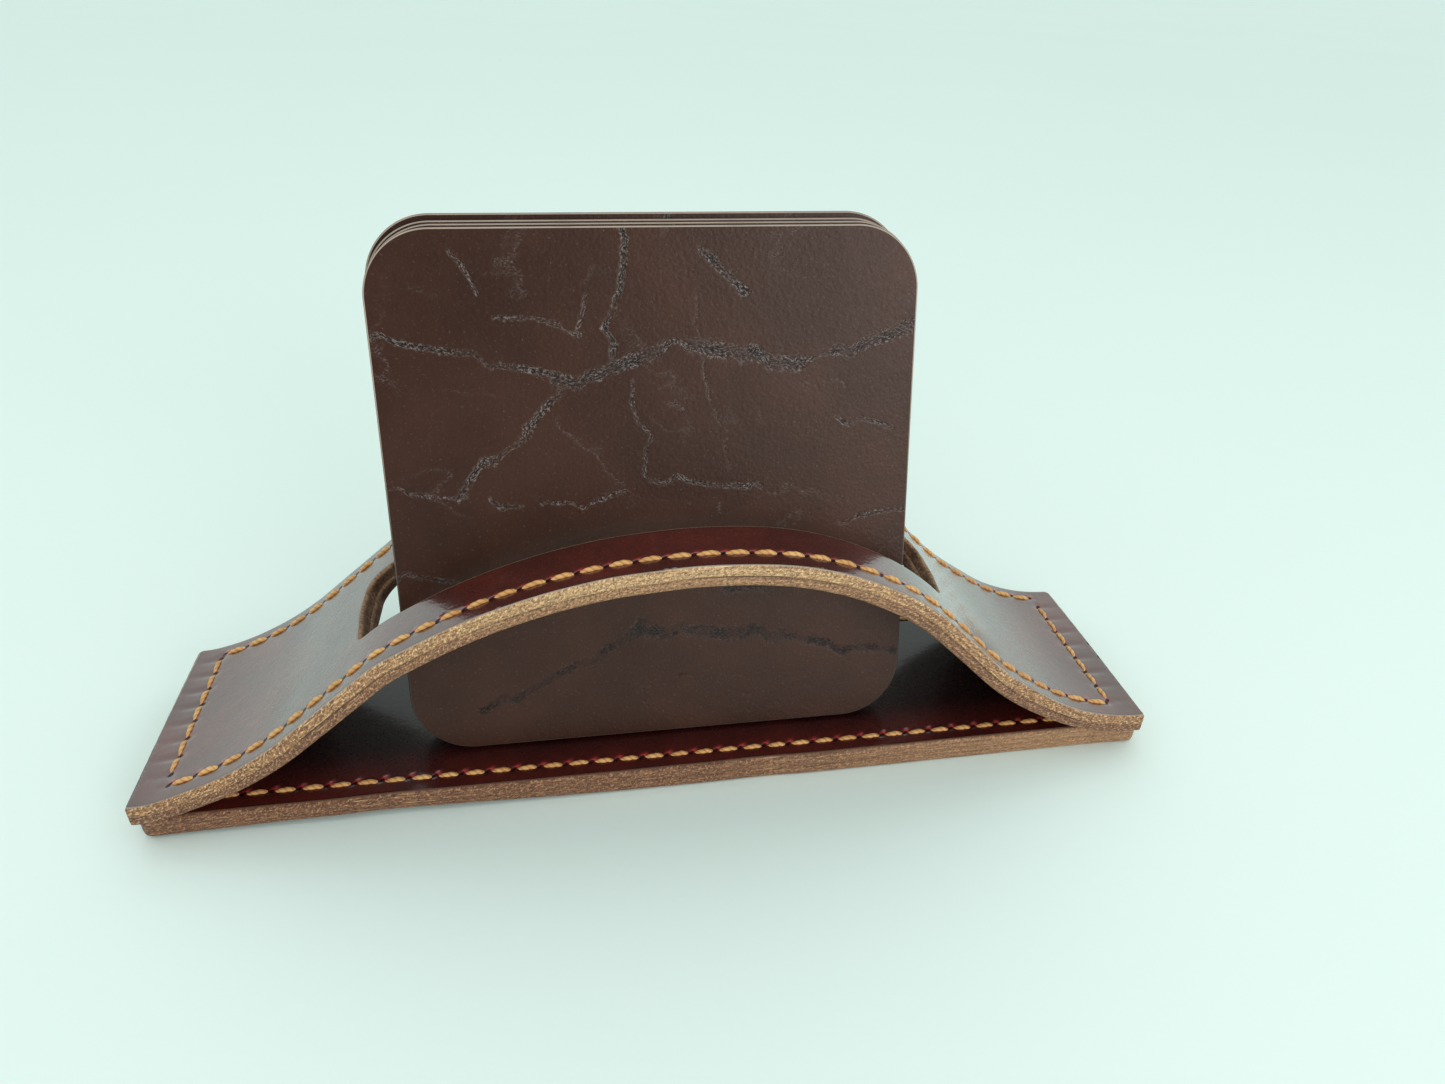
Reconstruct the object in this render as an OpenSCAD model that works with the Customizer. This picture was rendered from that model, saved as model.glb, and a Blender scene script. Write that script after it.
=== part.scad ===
// Leather coaster holder with four square coasters.
//
// A flat two-layer base carries an arched two-layer strap. Both are saddle
// stitched along their long edges, and one seam at each end joins the strap to
// the base. Four coasters stand in the slot in the strap: they rest on the base
// and lean back on the rear edge of the slot, and each one lifts out along its
// own face.
//
// Units are millimetres. +Z is up and -Y is the front. The origin lies on the
// table, under the middle of the strap.

/* [Coasters] */
// Width and height of one coaster
coaster_size = 100; // [90:1:104]
// Thickness of one coaster
coaster_t = 2.1; // [1.5:0.1:2.2]
// Corner radius of a coaster
coaster_r = 12; // [4:1:20]
// Air between two neighbouring coasters
coaster_gap = 0.12; // [0.05:0.01:0.3]
// Backward lean of the stack in degrees
coaster_lean = 14; // [10:0.5:14]
// Front face of the stack where it meets the base
coaster_front_y = -11.1; // [-13:0.1:-11.1]
// How much higher the rear coaster rides than the others
rear_coaster_rise = 0.6; // [0:0.1:2]

/* [Base] */
// Length of the base
base_len = 200.4; // [190:0.1:202]
// Depth of the base from front to back
base_w = 46; // [42:0.5:47]
// How far the base is set back under the strap
base_set_back = 2; // [1:0.5:2.5]
// Sideways offset of the base under the strap
base_shift = 1.4; // [-1.5:0.1:1.5]
// Thickness of one layer of the base
base_layer_t = 2.7; // [2:0.1:2.8]

/* [Strap] */
// Length of the strap measured along the table
strap_span = 199.4; // [196:0.2:203]
// Depth of the strap from front to back
strap_w = 45.5; // [43:0.5:50]
// Thickness of one layer of the strap
strap_layer_t = 2.3; // [1.8:0.1:2.6]
// Radius of the first bend at the left foot
left_foot_r1 = 17.5; // [12:0.5:22]
// Turn of the first bend at the left foot in degrees
left_foot_turn1 = 15; // [12:0.5:17]
// Radius of the second bend at the left foot
left_foot_r2 = 64; // [54:1:66]
// Turn of the second bend at the left foot in degrees
left_foot_turn2 = 25; // [23:0.5:27]
// Radius of the left shoulder
left_shoulder_r = 44; // [36:1:56]
// Turn of the left shoulder in degrees
left_shoulder_turn = 9.5; // [7:0.5:12]
// Radius of the crown of the arch
crown_r = 110; // [102:1:114]
// Turn of the crown in degrees
crown_turn = 36; // [34:0.5:38]
// Radius of the right shoulder
right_shoulder_r = 64; // [58:1:68]
// Turn of the right shoulder in degrees
right_shoulder_turn = 37.5; // [36:0.5:39]
// Radius of the first bend at the right foot
right_foot_r1 = 122; // [90:1:140]
// Turn of the first bend at the right foot in degrees
right_foot_turn1 = 8.5; // [6:0.5:10]
// Radius of the last bend at the right foot, which turns the strap level again
right_foot_r2 = 39; // [32:1:42]
// Flat length of the strap at each end
foot_flat = 0.3; // [0.2:0.1:1]

/* [Slot] */
// Length of the slot along the strap
slot_len = 116; // [108:0.5:120]
// Front edge of the slot
slot_front_y = -9.7; // [-11:0.1:-9]
// Rear edge of the slot
slot_back_y = 10.7; // [10.6:0.1:13]
// Sideways offset of the slot
slot_shift = -0.6; // [-1.5:0.1:1.5]
// Radius of the corners of the slot
slot_corner_r = 4; // [1:0.5:8]

/* [Seams] */
// Distance between two stitch holes along a seam
stitch_pitch = 5.1; // [4:0.1:6]
// Thickness of the thread
thread_d = 1; // [0.6:0.1:1.2]
// Distance from a long edge to its seam
edge_inset = 3.5; // [2.5:0.1:4]
// Distance from an end of the strap to the end seam
end_inset = 5.8; // [5:0.1:7]
// Distance from an end of the strap to the first hole of a long seam
run_inset = 6.6; // [6:0.1:9]
// Number of stitches in each end seam
end_stitches = 7; // [5:1:7]
// Distance between two stitch holes of an end seam
end_pitch = 4.9; // [4.5:0.1:5.1]
// Angle of a stitch to its long seam in degrees
stitch_slant = -5; // [-12:1:0]
// Angle of a stitch to its end seam in degrees
end_stitch_slant = -7; // [-12:1:0]

/* [Hidden] */

$fn = 48;
base_h = 2 * base_layer_t;
strap_t = 2 * strap_layer_t;
coaster_count = 4;
// A coaster stops just short of the base, so that the two are separate bodies.
rest_gap = 0.15;
// Half the thread lies in the leather on top, and all of it below the base.
thread_sink = 0.2 * thread_d;
groove_w = 1.6 * thread_d;
groove_d = 1.2 * thread_d;
// Sideways offsets of the coasters, as they stand when dropped in by hand.
coaster_shifts = [-0.7, -0.5, -0.9, -1.2];
// Offsets of the left and right end seams towards the back, on top of the strap. Below the base
// they run between the long seams.
end_seam_shifts = [1, -1.2];
// Depths of their front faces in the stack. The rear one stands a little apart.
rear_coaster_gap = 0.3;
coaster_step = coaster_t + coaster_gap;
coaster_depths = [0, coaster_step, 2 * coaster_step, 2 * coaster_step + coaster_t + rear_coaster_gap];

// --- Centre line of the strap's top face -----------------------------------
// A stretch is [radius, turn] for an arc and [length, 0] for a straight, and a
// point on the line is [x, z, heading in degrees].

left_slope = left_foot_turn1 + left_foot_turn2;
right_slope = left_shoulder_turn + crown_turn + right_shoulder_turn - left_slope;
strap_start = [-strap_span / 2, base_h + strap_t, 0];

function arc_end(p, r, turn) =
    let (s = sign(turn) * r, h = p[2] + turn)
    [p[0] + s * (sin(h) - sin(p[2])), p[1] - s * (cos(h) - cos(p[2])), h];

function straight_end(p, len) =
    [p[0] + len * cos(p[2]), p[1] + len * sin(p[2]), p[2]];

function stretch_end(p, g) =
    g[1] == 0 ? straight_end(p, g[0]) : arc_end(p, g[0], g[1]);

function stretch_len(g) = g[1] == 0 ? g[0] : g[0] * abs(g[1]) * PI / 180;

function path_end(p, stretches, i = 0) =
    i == len(stretches) ? p : path_end(stretch_end(p, stretches[i]), stretches, i + 1);

// The two straight slopes close the arch: they are as long as it takes for the
// right end to land on the base.
function stretches_for(left_len, right_len) = [
    [foot_flat, 0],
    [left_foot_r1, left_foot_turn1],
    [left_foot_r2, left_foot_turn2],
    [left_len, 0],
    [left_shoulder_r, -left_shoulder_turn],
    [crown_r, -crown_turn],
    [right_shoulder_r, -right_shoulder_turn],
    [right_len, 0],
    [right_foot_r1, right_foot_turn1],
    [right_foot_r2, right_slope - right_foot_turn1],
    [foot_flat, 0]
];
open_end = path_end(strap_start, stretches_for(0, 0));
miss_x = strap_span / 2 - open_end[0];
miss_z = strap_start[1] - open_end[1];
slope_sine = sin(left_slope + right_slope);
left_len = (miss_x * sin(right_slope) + miss_z * cos(right_slope)) / slope_sine;
right_len = (miss_x * sin(left_slope) - miss_z * cos(left_slope)) / slope_sine;
strap_path = stretches_for(left_len, right_len);

function total_len(i = 0) =
    i == len(strap_path) ? 0 : stretch_len(strap_path[i]) + total_len(i + 1);

// Point on the line at the distance s from its left end.
function path_at(s, p = strap_start, i = 0) =
    let (g = strap_path[i], full = stretch_len(g))
    (s > full && i < len(strap_path) - 1)
        ? path_at(s - full, stretch_end(p, g), i + 1)
        : g[1] == 0 ? straight_end(p, s) : arc_end(p, g[0], g[1] * s / full);

function off_path(p, depth) = [p[0] + depth * sin(p[2]), p[1] - depth * cos(p[2])];

// Distances along the line at which the outline has a corner: about every 3 mm,
// so that each flat stays within a few hundredths of the true arc.
outline_steps = 74;
outline_at = [for (i = [0 : outline_steps]) i * total_len() / outline_steps];

// --- Shared shapes ----------------------------------------------------------

module rounded_rect(w, h, r) {
    square([w - 2 * r, h], center = true);
    square([w, h - 2 * r], center = true);
    for (sx = [-1, 1]) {
        for (sy = [-1, 1]) {
            translate([sx * (w / 2 - r), sy * (h / 2 - r)]) circle(r);
        }
    }
}

// One layer of the arch between two depths below its top face.
module arch_layer(upper, lower) {
    top = [for (s = outline_at) off_path(path_at(s), upper)];
    under = [for (i = [outline_steps : -1 : 0]) off_path(path_at(outline_at[i]), lower)];
    difference() {
        rotate([90, 0, 0])
            linear_extrude(strap_w, center = true)
                polygon(concat(top, under));
        translate([slot_shift, (slot_front_y + slot_back_y) / 2, 0])
            linear_extrude(100)
                rounded_rect(slot_len, slot_back_y - slot_front_y, slot_corner_r);
    }
}

module base_panel(z) {
    translate([base_shift, base_set_back, z + base_layer_t / 2])
        cube([base_len, base_w, base_layer_t], center = true);
}

// One stitch along X: a plump thread that narrows towards its two holes.
module stitch(len) {
    r = thread_d / 2;
    half = len / 2;
    linear_extrude(thread_d, center = true)
        polygon([
            [-half, 0], [-0.6 * half, -r], [0.6 * half, -r],
            [half, 0], [0.6 * half, r], [-0.6 * half, r]
        ]);
}

// --- Seams --------------------------------------------------------------------

base_run = base_len - 2 * run_inset;
base_stitches = round(base_run / stitch_pitch);
base_pitch = base_run / base_stitches;

// Stitches on both faces of the base, along one long edge.
module base_seam(y) {
    for (i = [0 : base_stitches - 1]) {
        x = base_shift - base_run / 2 + (i + 0.5) * base_pitch;
        translate([x, y, base_h + thread_sink]) rotate([0, 0, stitch_slant]) stitch(0.92 * base_pitch);
        translate([x, y, thread_d / 2 + 0.05]) stitch(0.92 * base_pitch);
    }
}

strap_run = total_len() - 2 * run_inset;
strap_stitches = round(strap_run / stitch_pitch);
strap_pitch = strap_run / strap_stitches;

// A stitch that lies on the arch, at a depth below its top face.
module arch_stitch(s, y, depth, slant) {
    p = path_at(s);
    place = off_path(p, depth);
    translate([place[0], y, place[1]])
        rotate([0, -p[2], 0])
            rotate([0, 0, slant])
                stitch(0.9 * strap_pitch);
}

// Stitches on both faces of the strap, along one long edge. The underside has
// none where the strap lies on the base.
module strap_seam(y) {
    for (i = [0 : strap_stitches - 1]) {
        s = run_inset + (i + 0.5) * strap_pitch;
        arch_stitch(s, y, -thread_sink, stitch_slant);
        if (i > 1 && i < strap_stitches - 2) {
            arch_stitch(s, y, strap_t + thread_sink, 0);
        }
    }
}

// Stitches across one end, on top of the strap and under the base.
module end_seam(s, shift) {
    p = path_at(s);
    top = off_path(p, -thread_sink);
    for (i = [0 : end_stitches - 1]) {
        y = (i + 0.5 - end_stitches / 2) * end_pitch;
        translate([top[0], y + shift, top[1]])
            rotate([0, 0, 90 + end_stitch_slant])
                stitch(0.92 * end_pitch);
        translate([p[0], y, thread_d / 2 + 0.05]) rotate([0, 0, 90]) stitch(0.92 * end_pitch);
    }
}

end_seams_at = [end_inset, total_len() - end_inset];
base_seam_y = base_w / 2 - edge_inset;
strap_seam_y = strap_w / 2 - edge_inset;

// --- Leather --------------------------------------------------------------------

module base_top_leather() {
    color("#5c211c") base_panel(base_layer_t);
}

// The lower layer has a channel under each seam, so that no stitch stands proud
// of the face that rests on the table.
module base_backing_leather() {
    color("#7a4a33")
        difference() {
            base_panel(0);
            for (side = [-1, 1]) {
                translate([base_shift, base_set_back + side * base_seam_y, groove_d / 2 - 0.5])
                    cube([base_run + 1, groove_w, groove_d + 1], center = true);
            }
            for (s = end_seams_at) {
                translate([path_at(s)[0], 0, groove_d / 2 - 0.5])
                    cube([groove_w, end_stitches * end_pitch + 1, groove_d + 1], center = true);
            }
        }
}

module strap_outer_leather() {
    color("#641f1a") arch_layer(0, strap_layer_t);
}

module strap_lining_leather() {
    color("#7d4c35") arch_layer(strap_layer_t, strap_t);
}

// --- Coasters -------------------------------------------------------------------

// Each coaster stands on its own rear lower edge and slides along its own face.
module coaster(k) {
    rise = k == coaster_count ? rear_coaster_rise : 0;
    foot_y = coaster_front_y + coaster_depths[k - 1] / cos(coaster_lean);
    foot_z = base_h + rest_gap + coaster_t * sin(coaster_lean);
    color("#3a211b")
        translate([coaster_shifts[k - 1], foot_y, foot_z])
            rotate([-coaster_lean, 0, 0])
                translate([0, coaster_t, coaster_size / 2 + rise])
                    rotate([90, 0, 0])
                        linear_extrude(coaster_t)
                            rounded_rect(coaster_size, coaster_size, coaster_r);
}

module thread(seam_colour = "#b9783f") {
    color(seam_colour) children();
}

base_top_leather();
base_backing_leather();
strap_outer_leather();
strap_lining_leather();
thread() base_seam(base_set_back - base_seam_y);  // base_front_seam
thread() base_seam(base_set_back + base_seam_y);  // base_back_seam
thread() strap_seam(-strap_seam_y);  // strap_front_seam
thread() strap_seam(strap_seam_y);  // strap_back_seam
thread() end_seam(end_seams_at[0], end_seam_shifts[0]);  // left_end_seam
thread() end_seam(end_seams_at[1], end_seam_shifts[1]);  // right_end_seam
for (k = [1 : coaster_count]) {
    coaster(k);
}
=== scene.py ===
"""Looks of a leather coaster holder with four coasters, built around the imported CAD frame.

Every length is in metres. +Z is up, -Y is the front, and the origin lies on the table under the
middle of the strap. Each leather layer is drawn flat, as points (u, v, depth) under its upper face,
is given rounded cut edges, and is then bent to its place.
"""
import math

import bpy
import numpy as np
from mathutils import Matrix, Vector
from mathutils.geometry import delaunay_2d_cdt
from mathutils.kdtree import KDTree


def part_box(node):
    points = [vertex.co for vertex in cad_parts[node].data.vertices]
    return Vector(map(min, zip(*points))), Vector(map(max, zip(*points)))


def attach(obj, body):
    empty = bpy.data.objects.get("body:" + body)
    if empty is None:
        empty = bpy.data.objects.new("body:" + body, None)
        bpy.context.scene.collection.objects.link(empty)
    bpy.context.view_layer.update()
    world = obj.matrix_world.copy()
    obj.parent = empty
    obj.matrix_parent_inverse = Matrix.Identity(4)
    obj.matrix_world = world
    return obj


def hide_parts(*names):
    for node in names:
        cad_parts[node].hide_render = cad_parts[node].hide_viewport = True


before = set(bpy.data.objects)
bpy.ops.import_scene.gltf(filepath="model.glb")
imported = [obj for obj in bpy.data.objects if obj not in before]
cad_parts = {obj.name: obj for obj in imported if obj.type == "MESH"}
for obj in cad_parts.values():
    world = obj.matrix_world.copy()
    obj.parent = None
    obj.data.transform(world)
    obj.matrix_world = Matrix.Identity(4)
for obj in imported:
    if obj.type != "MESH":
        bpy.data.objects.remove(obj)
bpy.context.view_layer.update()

MM = 0.001

# --- Sizes ---------------------------------------------------------------------

base_lo, base_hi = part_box("base_top_leather")
strap_lo, strap_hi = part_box("strap_outer_leather")

BASE_TOP = base_hi.z
BASE_LAYER = base_hi.z - base_lo.z
BASE_LEN = base_hi.x - base_lo.x
BASE_W = base_hi.y - base_lo.y
BASE_X = (base_lo.x + base_hi.x) / 2
BASE_Y = (base_lo.y + base_hi.y) / 2
STRAP_LAYER = 2.3 * MM
STRAP_T = 2 * STRAP_LAYER
STRAP_W = strap_hi.y - strap_lo.y

SLOT_FRONT = -9.7 * MM
SLOT_BACK = 10.7 * MM
SLOT_X = (-58.6 * MM, 57.4 * MM)

PITCH = 5.1 * MM
EDGE_INSET = 3.5 * MM
END_INSET = 5.8 * MM
RUN_INSET = 6.6 * MM
END_STITCHES = 7
END_PITCH = 4.9 * MM
END_SEAM_SHIFT = {"left": 1.0 * MM, "right": -1.2 * MM}
CHANNEL_DEPTH = 1.0 * MM

INNER_ARRIS = 0.06 * MM
BELLY = 0.03 * MM

COASTER = 100 * MM
COASTER_T = 2.1 * MM
COASTER_R = 12 * MM
COASTER_LEAN = math.radians(14)

GRID = 0.7 * MM
COASTER_GRID = 0.5 * MM

# --- The strap's path ------------------------------------------------------------


def arc(radius, turn):
    """A stretch (length, turn in radians) of the path: positive turns rise."""
    return radius * MM * abs(math.radians(turn)), math.radians(turn)


def run_path(stretches):
    """Distances, x, z and headings of closely spaced points along the strap's upper face."""
    lengths, turns = zip(*stretches)
    knots = np.cumsum((0,) + lengths)
    headings = np.cumsum((0,) + turns)
    s = np.linspace(0, knots[-1], 8001)
    heading = np.interp(s, knots, headings)
    middle = (heading[1:] + heading[:-1]) / 2
    step = s[1] - s[0]
    x = strap_lo.x + np.concatenate(([0], np.cumsum(np.cos(middle) * step)))
    z = BASE_TOP + STRAP_T + np.concatenate(([0], np.cumsum(np.sin(middle) * step)))
    return s, x, z, heading


def hollow(x):
    """How far the strap sags just right of the coasters."""
    return 0.8 * MM * np.exp(-((x - 66 * MM) / (9 * MM)) ** 2)


def strap_stretches(left_len, right_len):
    return [
        (0.3 * MM, 0),
        arc(17.5, 15),
        arc(64, 25),
        (left_len, 0),
        arc(44, -9.5),
        arc(110, -36),
        arc(64, -37.5),
        (right_len, 0),
        arc(122, 8.5),
        arc(39, 34.5),
        (0.3 * MM, 0),
    ]


def closed_path():
    """The two straight slopes are as long as it takes for the strap to land on the base."""
    left, right = math.radians(40), math.radians(43)
    s, x, z, heading = run_path(strap_stretches(0, 0))
    miss_x = strap_hi.x - x[-1]
    miss_z = BASE_TOP + STRAP_T - z[-1]
    left_len = (miss_x * math.sin(right) + miss_z * math.cos(right)) / math.sin(left + right)
    right_len = (miss_x * math.sin(left) - miss_z * math.cos(left)) / math.sin(left + right)
    return run_path(strap_stretches(left_len, right_len))


PATH_S, PATH_X, PATH_Z, PATH_HEADING = closed_path()
STRAP_LEN = PATH_S[-1]

# Where each end seam crosses the strap, and how far it is shifted along its own line.
END_SEAMS = (
    (END_INSET, END_SEAM_SHIFT["left"]),
    (STRAP_LEN - END_INSET, END_SEAM_SHIFT["right"]),
)


def on_arch(u, v, depth):
    """Bends flat points to the strap's path."""
    heading = np.interp(u, PATH_S, PATH_HEADING)
    x = np.interp(u, PATH_S, PATH_X) + depth * np.sin(heading)
    z = np.interp(u, PATH_S, PATH_Z) - depth * np.cos(heading)
    return np.column_stack((x, v, z - hollow(x)))


def on_base(u, v, depth):
    return np.column_stack((u, v, BASE_TOP - depth))


def wobble(x, seed, wavelength):
    """A smooth uneven line between about -1 and 1: four sines of unrelated lengths."""
    total = np.zeros_like(x)
    for k in range(4):
        rate = 2 * math.pi / wavelength * (0.61 + 0.47 * k)
        total += np.sin(x * rate + seed * (1.7 + 2.3 * k)) / (1 + 0.6 * k)
    return total / 2


# --- Flat leather layers -----------------------------------------------------------


def rounded_loop(corners, radii, pitch):
    """Points round a polygon with rounded corners, in the order of its corners."""
    corners = [np.array(c, float) for c in corners]
    loop = []
    count = len(corners)
    for i in range(count):
        before = corners[i - 1] - corners[i]
        after = corners[(i + 1) % count] - corners[i]
        before /= np.linalg.norm(before)
        after /= np.linalg.norm(after)
        half = math.acos(np.clip(before @ after, -1, 1)) / 2
        reach = radii[i] / math.tan(half)
        start = corners[i] + before * reach
        end = corners[i] + after * reach
        bisector = (before + after) / np.linalg.norm(before + after)
        centre = corners[i] + bisector * radii[i] / math.sin(half)
        if loop:
            loop += straight_points(loop[-1], start, pitch)
        steps = max(3, round(radii[i] * (math.pi - 2 * half) / pitch * 1.5))
        for k in range(steps + 1):
            p = start + (end - start) * k / steps - centre
            loop.append(centre + p / np.linalg.norm(p) * radii[i])
    loop += straight_points(loop[-1], loop[0], pitch)
    return np.array(loop)


def straight_points(a, b, pitch):
    """Points between a and b, without either."""
    count = max(1, round(np.linalg.norm(b - a) / pitch))
    return [a + (b - a) * k / count for k in range(1, count)]


def inside(points, loop):
    """Which points lie inside a closed loop."""
    x, y = points[:, 0], points[:, 1]
    result = np.zeros(len(points), bool)
    ends = np.roll(loop, -1, axis=0)
    for (ax, ay), (bx, by) in zip(loop, ends):
        if ay == by:
            continue
        crosses = (ay > y) != (by > y)
        result ^= crosses & (x < (bx - ax) * (y - ay) / (by - ay) + ax)
    return result


def rim_distances(points, loops):
    """How far each point is from the nearest edge."""
    edge = np.concatenate(loops)
    tree = KDTree(len(edge))
    for i, p in enumerate(edge):
        tree.insert((p[0], p[1], 0), i)
    tree.balance()
    return np.array([tree.find((p[0], p[1], 0))[2] for p in points])


def plan_mesh(loops, pitch):
    """Triangles over the inside of the first loop, less the others, with even points inside."""
    lo, hi = loops[0].min(0), loops[0].max(0)
    rows = np.arange(lo[1], hi[1], pitch * 0.87)
    lattice = []
    for k, y in enumerate(rows):
        x = np.arange(lo[0] + (k % 2) * pitch / 2, hi[0], pitch)
        lattice.append(np.column_stack((x, np.full_like(x, y))))
    lattice = np.concatenate(lattice)
    keep = inside(lattice, loops[0])
    for hole in loops[1:]:
        keep &= ~inside(lattice, hole)
    lattice = lattice[keep]
    lattice = lattice[rim_distances(lattice, loops) > 0.6 * pitch]

    points = np.concatenate(loops + [lattice])
    edges = []
    first = 0
    for loop in loops:
        count = len(loop)
        edges += [(first + i, first + (i + 1) % count) for i in range(count)]
        first += count
    made = delaunay_2d_cdt([Vector(p) for p in points], edges, [], 0, 1e-9)
    triangles = np.array(made[2])
    centres = points[triangles].mean(1)
    keep = inside(centres, loops[0])
    for hole in loops[1:]:
        keep &= ~inside(centres, hole)
    triangles = triangles[keep]
    a, b, c = (points[triangles[:, k]] for k in range(3))
    flipped = (b[:, 0] - a[:, 0]) * (c[:, 1] - a[:, 1]) < (b[:, 1] - a[:, 1]) * (c[:, 0] - a[:, 0])
    triangles[flipped] = triangles[flipped][:, ::-1]
    return points, triangles


def edge_profile(thickness, upper, lower, belly):
    """(outward, depth) points down a cut edge: a rounded upper arris, a belly, a lower arris."""
    reach = max(upper, lower)
    points = []
    for k in range(1, 6):
        angle = math.pi / 2 * k / 5
        points.append((reach - upper + upper * math.sin(angle), upper * (1 - math.cos(angle))))
    for k in range(1, 6):
        t = k / 6
        depth = upper + (thickness - upper - lower) * t
        points.append((reach + belly * 4 * t * (1 - t), depth))
    for k in range(0, 5):
        angle = math.pi / 2 * k / 5
        points.append((
            reach - lower + lower * math.cos(angle),
            thickness - lower + lower * math.sin(angle),
        ))
    return points


class Layer:
    """A flat sheet of leather with its cut edges, ready to be bent."""

    def __init__(self, loops, thickness, profile, pitch):
        reach = max(outward for outward, depth in profile)
        loops = [self.inset(loop, reach) for loop in loops]
        plan, triangles = plan_mesh(loops, pitch)
        count = len(plan)
        rim = rim_distances(plan, loops)
        points = [np.column_stack((plan, np.zeros(count)))]
        points.append(np.column_stack((plan, np.full(count, thickness))))
        edges = [np.zeros((2 * count, 2))]
        rims = [rim, rim]
        faces = [list(t) for t in triangles]
        faces += [[a + count, c + count, b + count] for a, b, c in triangles]
        kinds = [0] * len(triangles) + [2] * len(triangles)
        total = 2 * count
        first = 0
        for index, loop in enumerate(loops):
            kind = 1 if index == 0 else 3
            size = len(loop)
            outward = self.outward(loop)
            along = np.concatenate(([0], np.cumsum(np.linalg.norm(np.diff(loop, axis=0), axis=1))))
            upper = list(range(first, first + size))
            for out, depth in profile:
                ring = loop + outward * out
                points.append(np.column_stack((ring, np.full(size, depth))))
                edges.append(np.column_stack((along, np.full(size, depth))))
                rims.append(np.zeros(size))
                lower = list(range(total, total + size))
                faces += self.band(upper, lower)
                kinds += [kind] * size
                upper = lower
                total += size
            faces += self.band(upper, list(range(first + count, first + count + size)))
            kinds += [kind] * size
            first += size
        self.points = np.concatenate(points)
        self.edges = np.concatenate(edges)
        self.rim = np.concatenate(rims)
        self.faces = faces
        self.kinds = kinds

    @staticmethod
    def outward(loop):
        """Unit vectors to the right of the way the loop runs, out of the leather."""
        tangent = np.roll(loop, -1, axis=0) - np.roll(loop, 1, axis=0)
        tangent /= np.linalg.norm(tangent, axis=1)[:, None]
        return np.column_stack((tangent[:, 1], -tangent[:, 0]))

    @classmethod
    def inset(cls, loop, reach):
        return loop - cls.outward(loop) * reach

    @staticmethod
    def band(upper, lower):
        size = len(upper)
        return [
            [upper[i], lower[i], lower[(i + 1) % size], upper[(i + 1) % size]] for i in range(size)
        ]


def add_attribute(mesh, name, kind, values):
    attribute = mesh.attributes.new(name, kind, "POINT")
    field = "value" if kind == "FLOAT" else "vector"
    attribute.data.foreach_set(field, np.ascontiguousarray(values, np.float32).ravel())


def finish_piece(name, mesh, materials, body, nodes):
    """Adds a mesh to the scene as a piece that stands for CAD nodes."""
    for material in materials:
        mesh.materials.append(material)
    mesh.shade_smooth()
    piece = bpy.data.objects.new(name, mesh)
    bpy.context.scene.collection.objects.link(piece)
    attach(piece, body)
    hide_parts(*nodes)
    return piece


def leather_piece(name, layer, placed, materials, body, node, extra=()):
    """A layer as a piece. placed holds its points in space, extra more (name, values) attributes."""
    mesh = bpy.data.meshes.new(name)
    mesh.from_pydata(placed.tolist(), [], layer.faces)
    mesh.update()
    add_attribute(mesh, "flat", "FLOAT_VECTOR", layer.points)
    add_attribute(mesh, "edge", "FLOAT_VECTOR", np.column_stack((layer.edges, layer.rim)))
    for label, values in extra:
        add_attribute(mesh, label, "FLOAT_VECTOR", values)
    mesh.polygons.foreach_set("material_index", layer.kinds)
    return finish_piece(name, mesh, materials, body, [node])


# --- Materials ------------------------------------------------------------------------


class Value:
    """The output of a node. Arithmetic on it adds Math nodes."""

    def __init__(self, graph, socket):
        self.graph = graph
        self.socket = socket

    def __add__(self, other):
        return self.graph.math("ADD", self, other)

    def __sub__(self, other):
        return self.graph.math("SUBTRACT", self, other)

    def __rsub__(self, other):
        return self.graph.math("SUBTRACT", other, self)

    def __mul__(self, other):
        return self.graph.math("MULTIPLY", self, other)

    def __truediv__(self, other):
        return self.graph.math("DIVIDE", self, other)


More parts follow.
